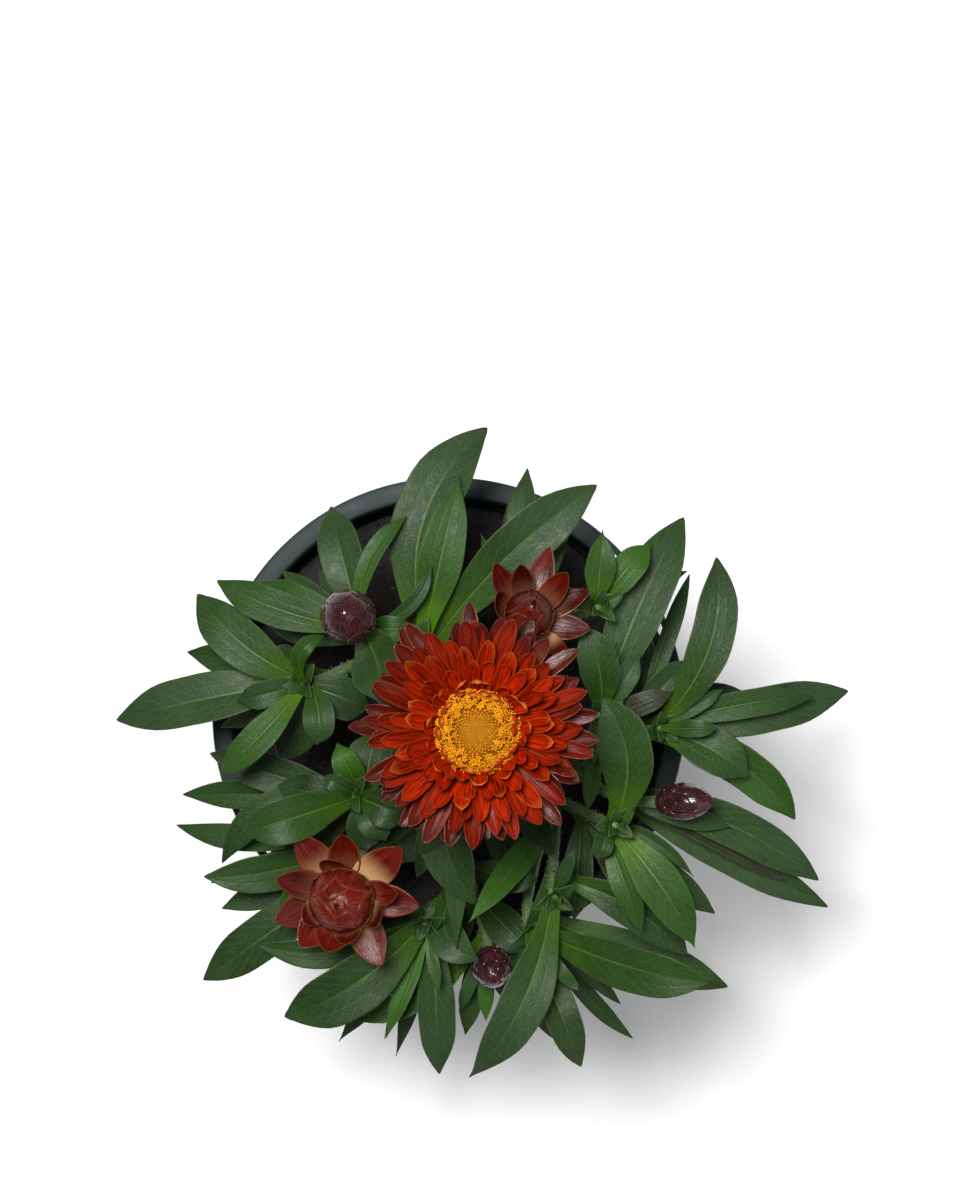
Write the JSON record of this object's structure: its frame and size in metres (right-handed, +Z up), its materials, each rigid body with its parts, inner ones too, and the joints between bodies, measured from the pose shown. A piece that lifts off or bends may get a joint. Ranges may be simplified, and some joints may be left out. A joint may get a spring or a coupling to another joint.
{
  "type": "potted strawflower",
  "caption": "Leafy strawflower plant in a round slotted-rim pot, with an open flower, half-open flowers and closed buds; stands on its flat base.",
  "frame": {"origin": "middle of the pot's flat base", "axes": "+Z up along the pot's axis; +Y towards the picture's top, as the picture looks straight down; +X to its right"},
  "size_m": [0.2075, 0.1842, 0.2286],
  "materials": {
    "pot_plastic": "dark slate moulded plastic, slightly dusty satin",
    "soil": "crumbly damp potting mix of peat and bark",
    "leaf_green": "soft leaf with a pale midrib and fine down, grey-green to yellow-green",
    "bract_red": "papery, glossy bract, scarlet with orange edges",
    "disc_gold": "fluffy golden florets",
    "bract_russet": "papery, glossy bract, russet and crimson",
    "bud_plum": "glossy papery scales, dark plum brown"
  },
  "bodies": {
    "root": {"pot": "pot_plastic", "soil": "soil", "stem_centre": "leaf_green", "stem_north": "leaf_green", "stem_west": "leaf_green", "stem_south_west": "leaf_green", "stem_south": "leaf_green", "stem_south_east": "leaf_green", "stem_east": "leaf_green", "flower_bracts": "bract_red", "flower_disc": "disc_gold", "flower_north": "bract_russet", "flower_south_west": "bract_russet", "bud_north_west": "bud_plum", "bud_east": "bud_plum", "bud_south": "bud_plum"}
  },
  "joints": []
}
